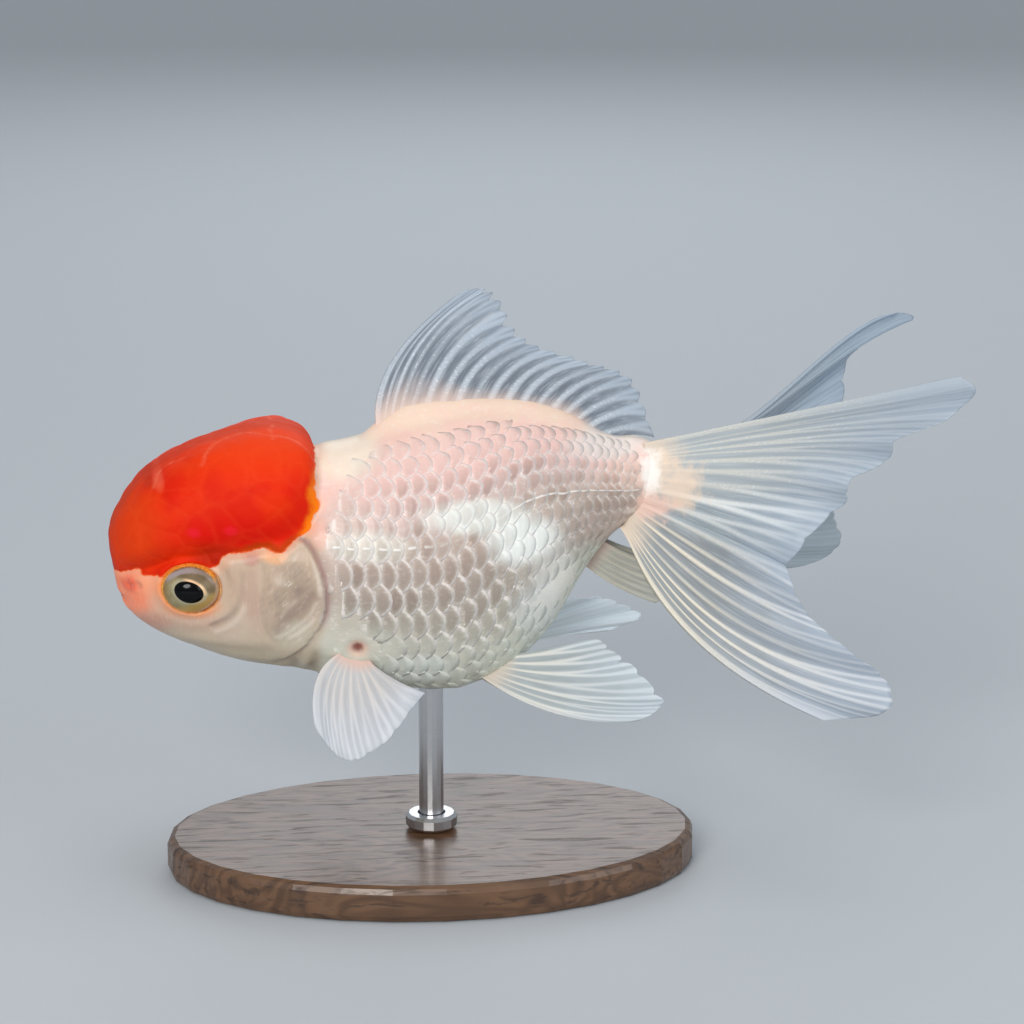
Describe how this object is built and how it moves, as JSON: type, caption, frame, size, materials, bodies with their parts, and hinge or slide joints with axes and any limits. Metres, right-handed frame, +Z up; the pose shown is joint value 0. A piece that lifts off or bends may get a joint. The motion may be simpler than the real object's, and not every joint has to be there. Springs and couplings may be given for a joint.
{
  "type": "goldfish model",
  "caption": "Life-size still model of a red-cap oranda goldfish with a red head hood, pearly body and flowing double tail, held on a flat oval base by a short rod.",
  "frame": {"origin": "centre of the flat underside of the display stand's base", "axes": "-X the way the fish faces, -Y its left side, +Z up"},
  "size_m": [0.1347, 0.061, 0.0955],
  "materials": {
    "skin": "wet, pearly fish skin and scales, white with a pink flush on the back and silver on the flank",
    "red_hood": "soft orange-red hood with a fine velvety grain and pale veins",
    "eye": "clear wet eye with a pearl and gold iris and a black pupil",
    "fin": "thin translucent blue-white membrane with pale branching rays",
    "stand_wood": "dark satin walnut",
    "stand_metal": "fine brushed steel"
  },
  "bodies": {
    "root": {"head": "skin", "hood": "red_hood", "lower_jaw": "skin", "gill_cover_left": "skin", "gill_cover_right": "skin", "eye_left": "eye", "eye_right": "eye", "trunk": "skin", "tail_stalk": "skin", "dorsal_fin": "fin", "pectoral_fin_left": "fin", "pectoral_fin_right": "fin", "pelvic_fin_left": "fin", "pelvic_fin_right": "fin", "anal_fin_left": "fin", "anal_fin_right": "fin", "tail_left_upper": "fin", "tail_left_lower": "fin", "tail_right_upper": "fin", "tail_right_lower": "fin", "stand_base": "stand_wood", "stand_rod": "stand_metal", "stand_collar": "stand_metal"}
  },
  "joints": []
}
